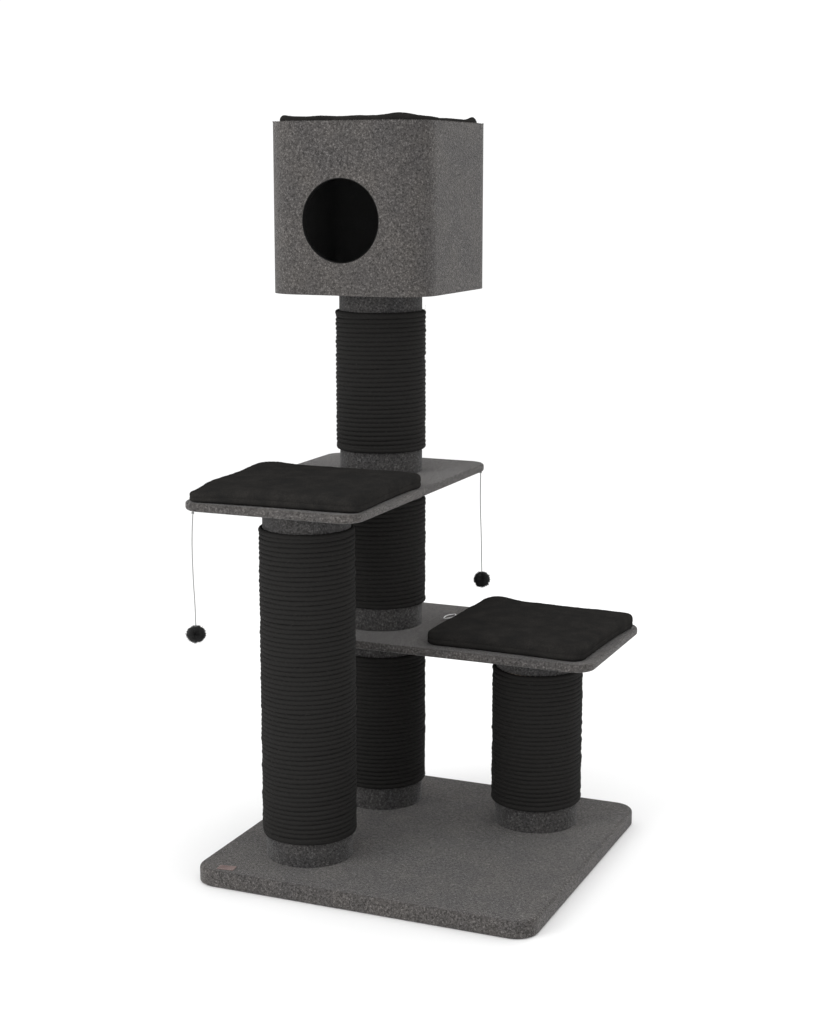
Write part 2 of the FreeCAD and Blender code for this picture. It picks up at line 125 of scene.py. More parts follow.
def joined(name, sweeps):
    """One mesh object from several sweeps."""
    verts, quads, caps, count = [], [], [], 0
    for part_verts, part_quads, part_caps in sweeps:
        verts.append(part_verts)
        quads.append(part_quads + count)
        caps.append(part_caps + count)
        count += len(part_verts)
    return new_mesh_object(name, np.concatenate(verts), [np.concatenate(quads), np.concatenate(caps)])


def lobed(turn, radius, around, lobes=3, spread=0.34):
    """Radii round a rope of twisted strands, at each twist angle in turn."""
    angle = np.arange(around) * TAU / around
    reach = 1.0 - spread
    best = np.zeros((len(turn), around))
    for lobe in range(lobes):
        off = angle[None, :] - turn[:, None] - lobe * TAU / lobes
        along = spread * np.cos(off)
        best = np.maximum(best, along + np.sqrt(reach ** 2 - (spread * np.sin(off)) ** 2))
    return best * radius


def hairs(name, roots, tips, bows, thick):
    """Thin three-sided tapering fibres, each bent through a middle point."""
    count = len(roots)
    middle = (roots + tips) / 2 + bows
    t = np.array([0.0, 0.35, 0.7, 1.0])[:, None, None]
    line = (1 - t) ** 2 * roots + 2 * t * (1 - t) * middle + t ** 2 * tips
    axis = tips - roots
    axis /= np.linalg.norm(axis, axis=1)[:, None]
    helper = np.where(np.abs(axis[:, 2:]) > 0.9, [[1.0, 0, 0]], [[0, 0, 1.0]])
    side = np.cross(axis, helper)
    side /= np.linalg.norm(side, axis=1)[:, None]
    other = np.cross(axis, side)
    taper = thick[None, :] * np.array([1.0, 0.9, 0.65])[:, None]
    rings = []
    for step in range(3):
        for corner in range(3):
            a = corner * TAU / 3
            rings.append(line[step] + taper[step][:, None] * (math.cos(a) * side + math.sin(a) * other))
    verts = np.stack([*rings, line[3]], 1)
    base = (np.arange(count) * 10)[:, None]
    quads, tris = [], [base + np.array([[2, 1, 0]])]
    for step in range(2):
        for corner in range(3):
            a, b = step * 3 + corner, step * 3 + (corner + 1) % 3
            quads.append(base + np.array([[a, b, b + 3, a + 3]]))
    for corner in range(3):
        tris.append(base + np.array([[6 + corner, 6 + (corner + 1) % 3, 9]]))
    return new_mesh_object(name, verts.reshape(-1, 3), [np.concatenate(quads), np.concatenate(tris)])


# ---- material helpers --------------------------------------------------------------------------
class Shader:
    """A node material round one Principled shader, with short ways to add what drives it."""

    def __init__(self, name, roughness=0.9, sheen=0.0, specular=0.3, metallic=0.0):
        self.material = bpy.data.materials.new(name)
        self.material.use_nodes = True
        self.tree = self.material.node_tree
        self.shader = self.tree.nodes["Principled BSDF"]
        self.shader.inputs["Roughness"].default_value = roughness
        self.shader.inputs["Specular IOR Level"].default_value = specular
        self.shader.inputs["Metallic"].default_value = metallic
        self.shader.inputs["Sheen Weight"].default_value = sheen
        self.shader.inputs["Sheen Roughness"].default_value = 0.5
        self.place = self.add("ShaderNodeTexCoord").outputs["Object"]
        self.place = self.stretched((1.0, 1.0, 1.0), (0.61, 0.37, 0.83))

    def add(self, kind, **settings):
        node = self.tree.nodes.new(kind)
        for key, value in settings.items():
            setattr(node, key, value)
        return node

    def link(self, source, target):
        self.tree.links.new(source, target)

    def stretched(self, scale, turn=(0.0, 0.0, 0.0)):
        node = self.add("ShaderNodeMapping")
        node.inputs["Scale"].default_value = scale
        node.inputs["Rotation"].default_value = turn
        self.link(self.place, node.inputs["Vector"])
        return node.outputs["Vector"]

    def noise(self, scale, detail=3.0, rough=0.6, where=None):
        node = self.add("ShaderNodeTexNoise")
        node.inputs["Scale"].default_value = scale
        node.inputs["Detail"].default_value = detail
        node.inputs["Roughness"].default_value = rough
        self.link(where or self.place, node.inputs["Vector"])
        return node.outputs["Fac"]

    def ramp(self, value, stops):
        node = self.add("ShaderNodeValToRGB")
        ramp = node.color_ramp
        while len(ramp.elements) < len(stops):
            ramp.elements.new(0.5)
        for element, (position, colour) in zip(ramp.elements, stops):
            element.position = position
            element.color = (*colour, 1.0)
        self.link(value, node.inputs["Fac"])
        return node.outputs["Color"]

    def mix(self, a, b, share, blend="MIX"):
        node = self.add("ShaderNodeMix", data_type="RGBA", blend_type=blend)
        for source, socket in ((a, node.inputs[6]), (b, node.inputs[7]), (share, node.inputs[0])):
            if isinstance(source, bpy.types.NodeSocket):
                self.link(source, socket)
            else:
                socket.default_value = source
        return node.outputs[2]

    def sum(self, a, b, weight):
        node = self.add("ShaderNodeMath", operation="MULTIPLY_ADD")
        self.link(b, node.inputs[0])
        node.inputs[1].default_value = weight
        self.link(a, node.inputs[2])
        return node.outputs[0]

    def blend(self, *shares):
        """Weighted sum of (value, weight) pairs."""
        total = None
        for value, weight in shares:
            node = self.add("ShaderNodeMath", operation="MULTIPLY_ADD" if total else "MULTIPLY")
            self.link(value, node.inputs[0])
            node.inputs[1].default_value = weight
            if total:
                self.link(total, node.inputs[2])
            total = node.outputs[0]
        return total

    def colour(self, source):
        self.link(source, self.shader.inputs["Base Color"])

    def bump(self, height, distance, strength=1.0):
        node = self.add("ShaderNodeBump")
        node.inputs["Distance"].default_value = distance
        node.inputs["Strength"].default_value = strength
        self.link(height, node.inputs["Height"])
        self.link(node.outputs["Normal"], self.shader.inputs["Normal"])


def grey(level, warm=0.0):
    """A linear colour near grey; warm adds red and takes blue."""
    return (level * (1 + warm), level, level * (1 - warm))


def plush_material(name="grey_plush", level=1.0, warm=0.02):
    """Short grey plush, spun from light, middle and dark fibres."""
    s = Shader(name, roughness=0.97, sheen=0.26, specular=0.04)
    s.shader.inputs["Sheen Roughness"].default_value = 0.30
    pile = s.blend((s.noise(190.0, 1.0, 0.6), 0.26), (s.noise(340.0, 2.0, 0.8), 0.42),
                   (s.noise(800.0, 2.0, 0.7), 0.32))
    tone = s.ramp(pile, [(0.41, grey(0.036 * level, warm)), (0.48, grey(0.074 * level, warm)),
                         (0.54, grey(0.096 * level, warm)), (0.62, grey(0.20 * level, warm))])
    cloud = s.ramp(s.noise(13.0, 3.0), [(0.35, (0.90, 0.87, 0.87)), (0.65, (1.07, 1.02, 0.99))])
    s.colour(s.mix(tone, cloud, 1.0, "MULTIPLY"))
    s.bump(pile, 0.004, 0.8)
    return s.material


def black_plush_material():
    """Soft black pile of the cushions, a little brown where it lies flat."""
    s = Shader("black_plush", roughness=1.0, sheen=0.006, specular=0.0)
    pile = s.noise(420.0, 3.0, 0.7)
    brushed = s.noise(26.0, 3.0, 0.55)
    both = s.sum(pile, brushed, 0.6)
    s.colour(s.ramp(both, [(0.60, grey(0.014)), (0.82, grey(0.0185, 0.05)), (1.05, grey(0.026, 0.06))]))
    s.bump(both, 0.0011, 0.6)
    return s.material


def dark_cloth_material(name="dark_lining", level=1.0):
    """Thin matte lining with a plain weave."""
    s = Shader(name, roughness=0.97, specular=0.03)
    fine = s.noise(900.0, 2.0, 0.7)
    s.colour(s.ramp(fine, [(0.35, grey(0.08 * level)), (0.7, grey(0.13 * level))]))
    s.bump(fine, 0.0004, 0.6)
    return s.material


def sisal_material():
    """Dyed sisal: dark strands, with pale streaks along the lay that are painted highlights on the strands.
    """
    s = Shader("sisal", roughness=0.9, specular=0.12)
    uv = s.add("ShaderNodeUVMap", uv_map="lay")
    fine = s.noise(60.0, 3.0, 0.65, uv.outputs["UV"])
    grain = s.noise(900.0, 2.0, 0.6)
    # The lightest stops, streaked along the lay by the UV, are painted highlights on the strands.
    s.colour(s.ramp(fine, [(0.35, grey(0.0125, 0.03)), (0.6, grey(0.0175, 0.05)),
                           (0.76, grey(0.027, 0.06)), (0.84, grey(0.075, 0.06))]))
    s.bump(s.sum(fine, grain, 0.5), 0.0006, 0.7)
    return s.material


def tag_material():
    """Reddish brown leather, paler where it is worn."""
    s = Shader("tag_leather", roughness=0.62, specular=0.3)
    grain = s.noise(520.0, 4.0, 0.65)
    worn = s.noise(70.0, 2.0)
    both = s.sum(grain, worn, 0.7)
    s.colour(s.ramp(both, [(0.65, (0.105, 0.068, 0.062)), (1.0, (0.215, 0.150, 0.140))]))
    s.bump(grain, 0.0003, 0.6)
    return s.material


def plain_material(name, low, high, scale, roughness, distance, specular=0.3, warm=0.0, metallic=0.0,
                   sheen=0.0, stretch=(1.0, 1.0, 1.0)):
    """A two-tone grain with bump; used for board, card, steel, elastic, yarn and thread."""
    s = Shader(name, roughness=roughness, specular=specular, metallic=metallic, sheen=sheen)
    grain = s.noise(scale, 4.0, 0.65, s.stretched(stretch))
    s.colour(s.ramp(grain, [(0.3, grey(low, warm)), (0.7, grey(high, warm))]))
    s.bump(grain, distance, 0.6)
    return s.material


MATERIALS = {
    "grey_plush": plush_material(),
    # The collars' plush is the grey plush made darker: painted shade under the shelves.
    "band_plush_painted_shade": plush_material("band_plush_painted_shade", 0.74, -0.01),
    # The rim fibres' plush is the grey plush made lighter: a painted highlight along the rim.
    "rim_plush_painted_highlight": plush_material("rim_plush_painted_highlight", 1.7),
    "black_plush": black_plush_material(),
    "dark_lining": dark_cloth_material(),
    "sleeve_cloth": dark_cloth_material("sleeve_cloth", 0.12),
    "sisal": sisal_material(),
    "sisal_fibre": plain_material("sisal_fibre", 0.012, 0.060, 60.0, 0.9, 0.0001, specular=0.1, warm=0.05),
    "board": plain_material("board", 0.34, 0.50, 90.0, 0.75, 0.0004, warm=0.28),
    "card": plain_material("card", 0.22, 0.32, 160.0, 0.85, 0.0002, warm=0.22),
    "zinc_steel": plain_material("zinc_steel", 0.50, 0.66, 300.0, 0.38, 0.0001, metallic=1.0),
    "tag_leather": tag_material(),
    "tag_thread": plain_material("tag_thread", 0.22, 0.38, 1500.0, 0.7, 0.0002, warm=0.05),
    "elastic": plain_material("elastic", 0.72, 0.92, 1400.0, 0.8, 0.0003, sheen=0.1),
    "toy_cord": plain_material("toy_cord", 0.20, 0.36, 1600.0, 0.8, 0.0002),
    "pompom_yarn": plain_material("pompom_yarn", 0.034, 0.066, 700.0, 0.95, 0.0003, specular=0.1, sheen=0.05),
}


def dress(obj, slot, finish=None):
    """Give a piece its material: the finish if one is given, else the material of its slot."""
    obj.data.materials.clear()
    obj.data.materials.append(MATERIALS[finish or slot])
    return obj


# Collars take the darker plush copy, which is painted shade under the shelves.
FINISHES = {node: "band_plush_painted_shade" for node in nodes if node.endswith("_band")}
FINISHES.update(entrance_sleeve="sleeve_cloth", house_tray_cover="sleeve_cloth", base_liner="sleeve_cloth")
for subpart in frame["record"]["subparts"]:
    dress(nodes[subpart["node"]], subpart["material_slot"], FINISHES.get(subpart["node"]))


# ---- toys: cords first, then pom-poms ----------------------------------------------------------
CORD_TOP = 0.7872
CORD_FOOT = 0.548
CORD_D = 0.002
TOYS = {
    "left": ((-0.374, -0.340), 0.2394, [
        (0.0, 0.0, 0.0), (-0.0026, -0.0011, 0.16), (-0.0030, -0.0012, 0.38),
        (-0.0016, -0.0007, 0.62), (0.0006, 0.0003, 0.82), (0.0009, 0.0004, 1.0)]),
    "right": ((-0.0164, 0.366), 0.2393, [
        (0.0, 0.0, 0.0), (-0.0004, -0.0002, 0.18), (0.0003, 0.0001, 0.38),
        (0.0024, 0.0010, 0.60), (0.0032, 0.0013, 0.82), (0.0044, 0.0019, 1.0)]),
}


def spline_points(points):
    """Points along the smooth NURBS line that has these control points."""
    data = bpy.data.curves.new("route", "CURVE")
    data.dimensions = "3D"
    data.resolution_u = 40
    spline = data.splines.new("NURBS")
    spline.points.add(len(points) - 1)
    for target, point in zip(spline.points, points):
        target.co = (*point, 1.0)
    spline.order_u = 3
    spline.use_endpoint_u = True
    route = bpy.data.objects.new("route", data)
    scene.collection.objects.link(route)
    mesh = bpy.data.meshes.new_from_object(route)
    line = np.array([v.co for v in mesh.vertices], float)
    bpy.data.objects.remove(route)
    bpy.data.meshes.remove(mesh)
    return line


def resample(line, step):
    """The same line in even steps, and the length run at each point."""
    lengths = np.concatenate([[0.0], np.cumsum(np.linalg.norm(np.diff(line, axis=0), axis=1))])
    wanted = np.linspace(0.0, lengths[-1], max(2, int(lengths[-1] / step)))
    return np.stack([np.interp(wanted, lengths, line[:, axis]) for axis in range(3)], 1), wanted


POMPOM_SHAPE = {"left": (1.10, 1.10, 0.99), "right": (1.05, 1.05, 1.04)}
POMPOM_FIBRES = 6400
CORD_TWIST = 0.006


def make_pompom(side, seed):
    """A yarn ball: bundles of cut fibres that stand out all round it, uneven where they meet the cord."""
    low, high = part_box(side + "_pompom")
    centre = np.array((low + high) / 2)
    reach = (high.x - low.x) / 2
    rng = np.random.default_rng(seed)
    count = POMPOM_FIBRES
    away = rng.normal(size=(count, 3))
    away /= np.linalg.norm(away, axis=1)[:, None]
    lump = np.array([noise.noise(Vector(d * 3.6 + seed)) for d in away])
    tuft = np.array([noise.noise(Vector(d * 9.0 - seed)) for d in away])
    length = reach * (1.0 + 0.15 * lump + 0.22 * tuft + rng.normal(0, 0.04, count))
    stray = rng.random(count) < 0.004
    length[stray] *= 1.12
    shaped = away * POMPOM_SHAPE[side]
    roots = centre + shaped * reach * 0.35
    tips = centre + shaped * length[:, None] + rng.normal(0, 0.0006, (count, 3))
    bows = rng.normal(0, 0.0009, (count, 3))
    thick = rng.uniform(0.00035, 0.0006, count)
    yarn = hairs(side + "_pompom_yarn", roots, tips, bows, thick)
    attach(yarn, side + "_toy")
    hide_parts(side + "_pompom")
    return dress(yarn, "pompom_yarn")


def make_toy(side, seed):
    """A twisted cord that hangs from its knot, with a pom-pom at its foot."""
    (x, y), length, route = TOYS[side]
    drop = CORD_TOP - CORD_FOOT
    points = [(x + dx, y + dy, CORD_TOP - share * drop) for dx, dy, share in route]
    line, run = resample(spline_points(points), 0.0005)
    reference = np.tile([1.0, 0.0, 0.0], (len(line), 1))
    radii = lobed(run * TAU / CORD_TWIST, CORD_D * 0.59, 10, spread=0.26)
    verts, quads, caps = sweep(line, reference, radii)
    cord = new_mesh_object(side + "_toy_cord_twine", verts, [quads, caps])
    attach(cord, side + "_toy")
    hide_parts(side + "_toy_cord")
    dress(cord, "toy_cord")
    yarn = make_pompom(side, seed)


make_toy("left", 11)
make_toy("right", 23)


# ---- sisal windings ----------------------------------------------------------------------------
ROPE_R = 0.005
ROPE_LAY = 0.034               # length of one twist of the strands
ROPE_AROUND = 14               # points round the rope
FIBRES_A_TURN = 60
WOBBLE_STEP = 0.05


def winding(node, seed):
    """One rope wound round a post from the node's foot to its head."""
    low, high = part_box(node)
    centre = np.array(((low.x + high.x) / 2, (low.y + high.y) / 2, 0.0))
    outer = (high.x - low.x) / 2
    rng = np.random.default_rng(seed)
    span = (high.z - low.z) - 2 * ROPE_R
    turns = round(span / (2 * ROPE_R)) + 2
    helix_r = outer - ROPE_R
    total = turns * TAU * helix_r
    s = np.arange(0.0, total, 0.003)
    angle = s / helix_r + seed
    rise = np.clip((s / (TAU * helix_r) - 1.0) / (turns - 2), 0.0, 1.0)
    z = low.z + ROPE_R + span * rise
    knots = np.arange(0.0, total + 0.1, WOBBLE_STEP)
    wobble = np.interp(s, knots, rng.normal(0, 1, int(total / WOBBLE_STEP) + 3)[:len(knots)])
    radial = np.stack([np.cos(angle), np.sin(angle), np.zeros_like(angle)], 1)
    points = centre + radial * (helix_r + 0.00045 * wobble)[:, None]
    points[:, 2] = z + 0.0003 * np.roll(wobble, 17)
    radii = lobed(s * TAU / ROPE_LAY, ROPE_R * 1.20, ROPE_AROUND, spread=0.26)
    radii *= 1 + 0.03 * np.roll(wobble, 5)[:, None]
    verts, quads, caps = sweep(points, radial, radii)
    rope = new_mesh_object(node + "_turns", verts, [quads, caps])
    uv = rope.data.uv_layers.new(name="lay")
    along = s[np.minimum(quads // ROPE_AROUND, len(s) - 1)]
    column = quads % ROPE_AROUND
    closing = (column == 0) & (np.roll(column, 1, 1).max(1)[:, None] == ROPE_AROUND - 1)
    column = np.where(closing, ROPE_AROUND, column)
    lay = np.stack([along * 1.2, column / ROPE_AROUND - along / ROPE_LAY], -1).reshape(-1, 2)
    values = np.zeros((len(rope.data.loops), 2), np.float32)
    values[:len(lay)] = lay
    uv.data.foreach_set("uv", values.ravel())
    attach(rope, "stand")
    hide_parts(node)
    dress(rope, "sisal")

    count = int(turns * FIBRES_A_TURN)
    pick = rng.integers(0, len(points) - 1, count)
    out = radial[pick]
    forward = np.stack([-out[:, 1], out[:, 0], np.zeros(count)], 1)
    roots = points[pick] + out * ROPE_R * 0.85
    slant = rng.normal(0, 0.6, count)[:, None]
    reach = rng.uniform(0.004, 0.016, count)[:, None]
    tips = roots + forward * reach * rng.choice([-1, 1], count)[:, None]
    tips[:, 2] += (slant * reach).ravel()
    drop = np.linalg.norm(tips[:, :2] - centre[:2], axis=1)
    tips[:, :2] = centre[:2] + (tips[:, :2] - centre[:2]) / drop[:, None] * (
        helix_r + ROPE_R * rng.uniform(0.8, 1.25, count))[:, None]
    bows = out * rng.uniform(0.0, 0.0016, count)[:, None]
    fibres = hairs(node + "_fibres", roots, tips, bows, rng.uniform(0.00013, 0.00030, count))
    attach(fibres, "stand")
    dress(fibres, "sisal", "sisal_fibre")


for index, post in enumerate(("front_post", "right_post", "rear_post_lower", "rear_post_middle",
                              "rear_post_upper")):
    winding(post + "_rope", index + 3)


# ---- cushions ----------------------------------------------------------------------------------
SEAM_DEEP = 0.0013
FILL_FOOT = 0.008
FILL_TOP = 0.011


def outline(width, depth, corner, step):
    """Round a rounded rectangle: arc centres, outward directions, and the corner radius."""
    half_w, half_d = width / 2 - corner, depth / 2 - corner
    arc = corner * math.pi / 2
    runs = [2 * half_d, arc, 2 * half_w, arc, 2 * half_d, arc, 2 * half_w, arc]
    corners = [(half_w, -half_d), (half_w, half_d), (-half_w, half_d), (-half_w, -half_d)]
    centres, angles = [], []
    for index, length in enumerate(runs):
        here, after = corners[index // 2], corners[(index // 2 + 1) % 4]
        facing = index // 2 * math.pi / 2
        pieces = max(4, round(length / step))
        for t in np.arange(pieces) / pieces:
            if index % 2:
                centres.append(after)
                angles.append(facing + t * math.pi / 2)
            else:
                centres.append((here[0] + (after[0] - here[0]) * t, here[1] + (after[1] - here[1]) * t))
                angles.append(facing)
    angles = np.array(angles)
    return np.array(centres), np.stack([np.cos(angles), np.sin(angles)], 1)


def side_profile(height, foot, top, seam_z):
    """Insets and heights up the side of a pad, with the seam's groove in it."""
    rows = [(foot * (1 - math.cos(a)), foot * (1 + math.sin(a))) for a in np.linspace(-math.pi / 2, 0, 7)]
    rows += [(deep * SEAM_DEEP, seam_z + off) for off, deep in
             ((-0.0024, 0.0), (-0.0012, 0.45), (0.0, 1.0), (0.0012, 0.45), (0.0024, 0.0))]
    rows += [(top * (1 - math.cos(a)), height - top * (1 - math.sin(a)))
             for a in np.linspace(0, math.pi / 2, 10)]
    return rows


def cushion(node, width, depth, turn, corner, seed, shape, ears, pulled=0.003, step=0.0029):
    """A filled cover: pulled in between its corners, seamed round its side, with a soft uneven pile.

    ears is how far each corner is drawn out: front left, front right, back right, back left.
    """
    low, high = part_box(node)
    centre = (low + high) / 2
    height = high.z - low.z
    rows = side_profile(height, FILL_FOOT, FILL_TOP, 0.42 * height)
    arcs, outward = outline(width, depth, corner, step)
    rings = []
    steps = int(min(width, depth) / 2 / step)
    for k in range(1, steps):
        rings.append(((arcs + outward * (corner - FILL_FOOT)) * k / steps, 0.0, k / steps))
    for inset, z in rows:
        rings.append((arcs + outward * (corner - inset), z, 1.0))
    for k in range(steps - 1, 0, -1):
        rings.append(((arcs + outward * (corner - FILL_TOP)) * k / steps, height, k / steps))
    co = np.array([np.column_stack([xy, np.full(len(xy), z)]) for xy, z, _ in rings])
    spread = np.array([share for _, _, share in rings])[:, None]
    u, v = co[:, :, 0] / (width / 2), co[:, :, 1] / (depth / 2)
    co[:, :, 0] -= pulled * spread ** 3 * outward[None, :, 0] * np.clip(1 - v * v, 0, 1)
    co[:, :, 1] -= pulled * spread ** 3 * outward[None, :, 1] * np.clip(1 - u * u, 0, 1)
    count, around = co.shape[:2]
    co, u, v = co.reshape(-1, 3), u.ravel(), v.ravel()
    ends = np.array([[0.0, 0.0, 0.0], [0.0, 0.0, height]])
    co, u, v = np.concatenate([co, ends]), np.append(u, [0, 0]), np.append(v, [0, 0])
    lift = np.clip(co[:, 2] / height, 0, 1)
    slack = np.array([noise.noise(Vector(p * 15.0 + seed * 3)) for p in co])
    fine = np.array([noise.noise(Vector(p * 55.0 + seed)) for p in co])
    co[:, 2] += lift ** 1.5 * (shape(u, v) + 0.0014 * slack + 0.0005 * fine)
    out = co[:, :2] / np.maximum(np.linalg.norm(co[:, :2], axis=1), 1e-6)[:, None]
    rim = np.clip(np.maximum(np.abs(u), np.abs(v)) * 8 - 7, 0, 1) * np.clip(lift * 3, 0, 1)
    co[:, :2] += out * (rim * (0.0012 * slack + 0.0006 * fine))[:, None]
    for (a, b), reach in zip(((-1, -1), (1, -1), (1, 1), (-1, 1)), ears):
        drawn = hill(u, v, a, b, 0.22, reach)
        co[:, 0] += a * drawn
        co[:, 1] += b * drawn
    angle = math.radians(turn)
    x = centre.x + co[:, 0] * math.cos(angle) - co[:, 1] * math.sin(angle)
    y = centre.y + co[:, 0] * math.sin(angle) + co[:, 1] * math.cos(angle)
    co = np.stack([x, y, co[:, 2] + low.z], 1)
    j = np.arange(around)
    k = (j + 1) % around
    i = np.arange(count - 1)[:, None] * around
    quads = np.stack([i + j, i + k, i + around + k, i + around + j], -1).reshape(-1, 4)
    foot = np.stack([k, j, np.full(around, count * around)], -1)
    head = np.stack([j, k, np.full(around, 0)], -1) + (count - 1) * around
    head[:, 2] = count * around + 1
    obj = new_mesh_object(node + "_cover", co, [quads, np.concatenate([foot, head])])
    mesh = obj.data
    normals = np.zeros(len(co) * 3, np.float32)
    mesh.vertex_normals.foreach_get("vector", normals)
    pile = np.array([noise.noise(Vector(p * 290.0 + seed)) for p in co])
    co += normals.reshape(-1, 3) * (0.00055 * pile * (co[:, 2] > low.z + 0.001))[:, None]
    mesh.vertices.foreach_set("co", co.astype(np.float32).ravel())
    mesh.update()
    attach(obj, node)
    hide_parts(node)
    return dress(obj, "black_plush")


def hill(u, v, at_u, at_v, wide, tall):
    """A soft bump at one place, in shares of the half width and half depth."""
    return tall * np.exp(-(((u - at_u) / wide) ** 2 + ((v - at_v) / wide) ** 2))


def upper_shape(u, v):
    """Nearly flat; the front left corner sags and the back left corner stands a little proud."""
    return (0.0012 * (1 - u * u) * (1 - v * v) + hill(u, v, -1.0, -1.0, 0.40, -0.013)
            + hill(u, v, -0.80, 0.9, 0.24, 0.0045) + hill(u, v, 1.0, 1.0, 0.2, -0.003)
            + hill(u, v, -1.1, 0.0, 0.4, -0.003))


def lower_shape(u, v):
    """Soft crown; the back left corner is pushed up and the front left corner sags."""
    return (0.0012 * (1 - u * u) * (1 - v * v) + hill(u, v, -0.80, 0.97, 0.22, 0.0065)
            + hill(u, v, -1.0, -1.0, 0.3, -0.006) + hill(u, v, 1.0, 1.0, 0.22, -0.002))


def tray_shape(u, v):
    """Low soft crown, with the cover bunched up at its corners and lower along the right."""
    swell = 0.0035 * (1 - u * u) * (1 - v * v) - 0.0025
    sag = -0.0035 * np.clip((u - 0.55) / 0.4, 0, 1) * np.clip((v + 0.7) / 0.5, 0, 1)
    corners = (hill(u, v, -0.93, -0.86, 0.11, 0.0055) + hill(u, v, 0.72, -0.9, 0.20, 0.0045)
               + hill(u, v, 0.9, 0.86, 0.09, 0.0085) + hill(u, v, -0.86, 0.86, 0.14, 0.006))
    ripples = 0.0009 * np.sin(9.0 * u + 2.0 * v) * np.sin(7.0 * v - 3.0 * u + 1.0)
    return swell + sag + corners + ripples


cushion("upper_cushion", 0.378, 0.334, 1.6, 0.020, 2, upper_shape, (0.0035, -0.004, 0.0065, -0.009))
cushion("lower_cushion", 0.370, 0.350, -2.4, 0.033, 5, lower_shape, (0.001, -0.003, 0.0035, -0.008),
        pulled=0.006)
cushion("top_cushion", 0.347, 0.389, 0.0, 0.067, 9, tray_shape, (0.0, 0.0, 0.0, 0.0))


# ---- elastic loop ------------------------------------------------------------------------------
LOOP_AT = (-0.061, 0.290)
LOOP_TURN = math.radians(-7)
LOOP_HALF_LENGTH = 0.0235
LOOP_HALF_WIDTH = 0.0092
ELASTIC_R = 0.0013
TAIL_R = 0.0008


def elastic_loop():
    """Thin round elastic in a narrow oval, both ends sewn under the cushion's left edge."""
    low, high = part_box("lower_cushion_loop")
    centre = np.array((*LOOP_AT, low.z + 0.0014))
    t = np.linspace(0, TAU, 160)
    along, across = LOOP_HALF_LENGTH * np.cos(t), LOOP_HALF_WIDTH * np.sin(t)
    points = centre + np.stack([across * math.cos(LOOP_TURN) - along * math.sin(LOOP_TURN),
                                across * math.sin(LOOP_TURN) + along * math.cos(LOOP_TURN),
                                0.0004 * np.sin(3 * t)], 1)
    reference = np.tile(UP, (len(points), 1))
    radii = np.full((len(points), 8), ELASTIC_R)
    verts, quads, caps = sweep(points, reference, radii)
    loop = new_mesh_object("lower_cushion_elastic", verts, [quads, caps])
    tail_x = np.linspace(centre[0] + 0.010, high.x - 0.0005, 14)
    tail = np.stack([tail_x, np.full(14, centre[1]), np.full(14, low.z + 0.0009)], 1)
    verts, quads, caps = sweep(tail, np.tile(UP, (14, 1)), np.full((14, 8), TAIL_R))
    strap = new_mesh_object("lower_cushion_elastic_tail", verts, [quads, caps])
    for piece in (loop, strap):
        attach(piece, "lower_cushion")
        dress(piece, "elastic")
    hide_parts("lower_cushion_loop")


elastic_loop()


# ---- tag stitching -----------------------------------------------------------------------------
TAG_SIZE = (0.037, 0.022)
TAG_CORNER = 0.003
TAG_TURN = math.radians(7.0)
TAG_THREAD_R = 0.00032
STITCH_IN = 0.0016             # from the tag's edge


def tag_stitching():
    """Running stitches just inside the tag's edge."""
    low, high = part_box("base_tag")
    centre = (low + high) / 2
    arcs, outward = outline(*TAG_SIZE, TAG_CORNER, 0.0021)
    at = arcs + outward * (TAG_CORNER - STITCH_IN)
    stitches = []
    for here, after in list(zip(at, np.roll(at, -1, 0)))[::2]:
        line = np.array([here + (after - here) * t for t in (0.0, 0.33, 0.67, 1.0)])
        x = centre.x + line[:, 0] * math.cos(TAG_TURN) - line[:, 1] * math.sin(TAG_TURN)
        y = centre.y + line[:, 0] * math.sin(TAG_TURN) + line[:, 1] * math.cos(TAG_TURN)
        z = high.z + np.array([-0.0001, 0.00015, 0.00015, -0.0001])
        stitches.append(sweep(np.stack([x, y, z], 1), np.tile(UP, (4, 1)), np.full((4, 6), TAG_THREAD_R)))
    thread = joined("base_tag_stitches", stitches)
    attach(thread, "stand")
    dress(thread, "tag_leather", "tag_thread")


tag_stitching()


# ---- rounded plush edges and seams -------------------------------------------------------------
def soften(node, width):
    """Round the sharp edges of a cover."""
    bevel = nodes[node].modifiers.new("soften", "BEVEL")
    bevel.width = width
    bevel.segments = 2
    bevel.limit_method = "ANGLE"
    bevel.angle_limit = math.radians(50)


soften("house_cover", 0.0014)
for node in nodes:
    if node.endswith("_band"):
        soften(node, 0.0008)


SEAM_ROLL_R = 0.0013
SEAM_THREAD_R = 0.00028
STITCH_PITCH = 0.0045
STITCH_LENGTH = 0.0030


def seam(name, start, end, outward, body, slot="grey_plush"):
    """A sewn join: two low rolls side by side, with a row of short stitches between them."""
    start, end, outward = np.array(start), np.array(end), np.array(outward)
    run = end - start
    length = np.linalg.norm(run)
    across = np.cross(run / length, outward)
    steps = max(4, int(length / 0.006))
    t = np.linspace(0, 1, steps)[:, None]
    parts = []
    for side in (-1, 1):
        line = start + run * t + across * side * 0.0011 - outward * 0.0004
        parts.append(sweep(line, np.tile(outward, (steps, 1)), np.full((steps, 8), SEAM_ROLL_R)))
    for k in range(int(length / STITCH_PITCH)):
        a = start + run / length * (0.002 + k * STITCH_PITCH) + outward * 0.0006
        line = a + run / length * np.linspace(0, STITCH_LENGTH, 4)[:, None]
        parts.append(sweep(line, np.tile(outward, (4, 1)), np.full((4, 6), SEAM_THREAD_R)))
    obj = joined(name, parts)
    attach(obj, body)
    return dress(obj, slot)


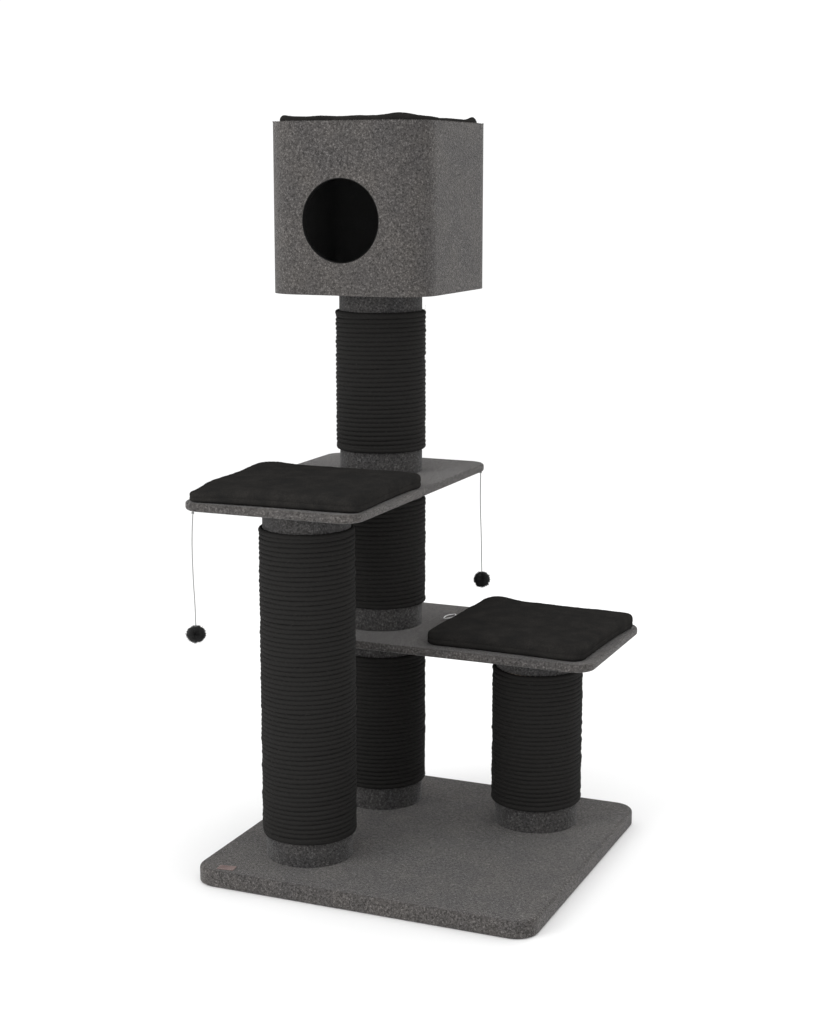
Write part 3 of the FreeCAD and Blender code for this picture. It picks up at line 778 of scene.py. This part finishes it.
low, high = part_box("house_cover")
seam("house_back_seam", ((low.x + high.x) / 2, high.y, low.z + 0.002),
     ((low.x + high.x) / 2, high.y, high.z - 0.003), (0.0, 1.0, 0.0), "stand")
for node in sorted(nodes):
    if node.endswith("_band"):
        low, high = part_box(node)
        seam(node + "_seam", ((low.x + high.x) / 2, high.y, low.z + 0.001),
             ((low.x + high.x) / 2, high.y, high.z - 0.001), (0.0, 1.0, 0.0), "stand")


# ---- pile standing up along the house's rim ----------------------------------------------------
RIM_CORNER = 0.080


def rim_pile():
    """Short fibres that stand up along both edges of the turned-over rim."""
    low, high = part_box("house_cover")
    centre = (low + high) / 2
    rng = np.random.default_rng(31)
    parts = []
    for inset in (0.0006, 0.0108):
        arcs, outward = outline(high.x - low.x, high.y - low.y, RIM_CORNER, 0.0004)
        at = arcs + outward * (RIM_CORNER - inset)
        roots = np.column_stack([at + (centre.x, centre.y), np.full(len(at), high.z - 0.0006)])
        roots += rng.normal(0, 0.0003, roots.shape)
        lean = (1.0 if inset < 0.005 else -1.0) * outward * rng.uniform(0.0, 0.0012, (len(at), 1))
        tips = roots + np.column_stack([lean, rng.uniform(0.0010, 0.0022, len(at))])
        tips += rng.normal(0, 0.0003, tips.shape)
        parts.append((roots, tips))
    roots, tips = (np.concatenate(column) for column in zip(*parts))
    bows = rng.normal(0, 0.0002, roots.shape)
    pile = hairs("house_rim_pile", roots, tips, bows, rng.uniform(0.00012, 0.0002, len(roots)))
    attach(pile, "stand")
    # The rim fibres take the lighter plush copy, a painted highlight where light catches them.
    dress(pile, "grey_plush", "rim_plush_painted_highlight")


rim_pile()


# ---- floor and light ---------------------------------------------------------------------------
FLOOR_Z = -0.0006

floor_mesh = bpy.data.meshes.new("floor")
floor_mesh.from_pydata([(x, y, FLOOR_Z) for x, y in ((-14, -14), (14, -14), (14, 14), (-14, 14))],
                       [], [(0, 1, 2, 3)])
floor = bpy.data.objects.new("floor", floor_mesh)
scene.collection.objects.link(floor)
floor_shader = Shader("floor", roughness=0.8, specular=0.1)
floor_shader.shader.inputs["Base Color"].default_value = (0.96, 0.96, 0.96, 1.0)
floor_mesh.materials.append(floor_shader.material)

world = bpy.data.worlds.new("studio")
scene.world = world
world.use_nodes = True
background = world.node_tree.nodes["Background"]
background.inputs["Color"].default_value = (1.0, 1.0, 1.0, 1.0)
background.inputs["Strength"].default_value = 1.06


def soft_box(name, at, towards, size, power):
    """A square area light that faces a point."""
    data = bpy.data.lights.new(name, "AREA")
    data.shape = "SQUARE"
    data.size = size
    data.energy = power
    lamp = bpy.data.objects.new(name, data)
    lamp.location = at
    lamp.rotation_euler = (Vector(towards) - Vector(at)).to_track_quat("-Z", "Y").to_euler()
    scene.collection.objects.link(lamp)


soft_box("front_box", (-2.2, -3.4, 2.2), (-0.1, 0.0, 0.8), 2.2, 66.0)
soft_box("side_box", (3.4, 1.4, 2.4), (0.0, 0.0, 0.9), 2.0, 8.0)
soft_box("back_box", (0.6, 3.4, 3.0), (0.0, 0.2, 0.8), 2.0, 30.0)

scene.view_settings.view_transform = "Standard"
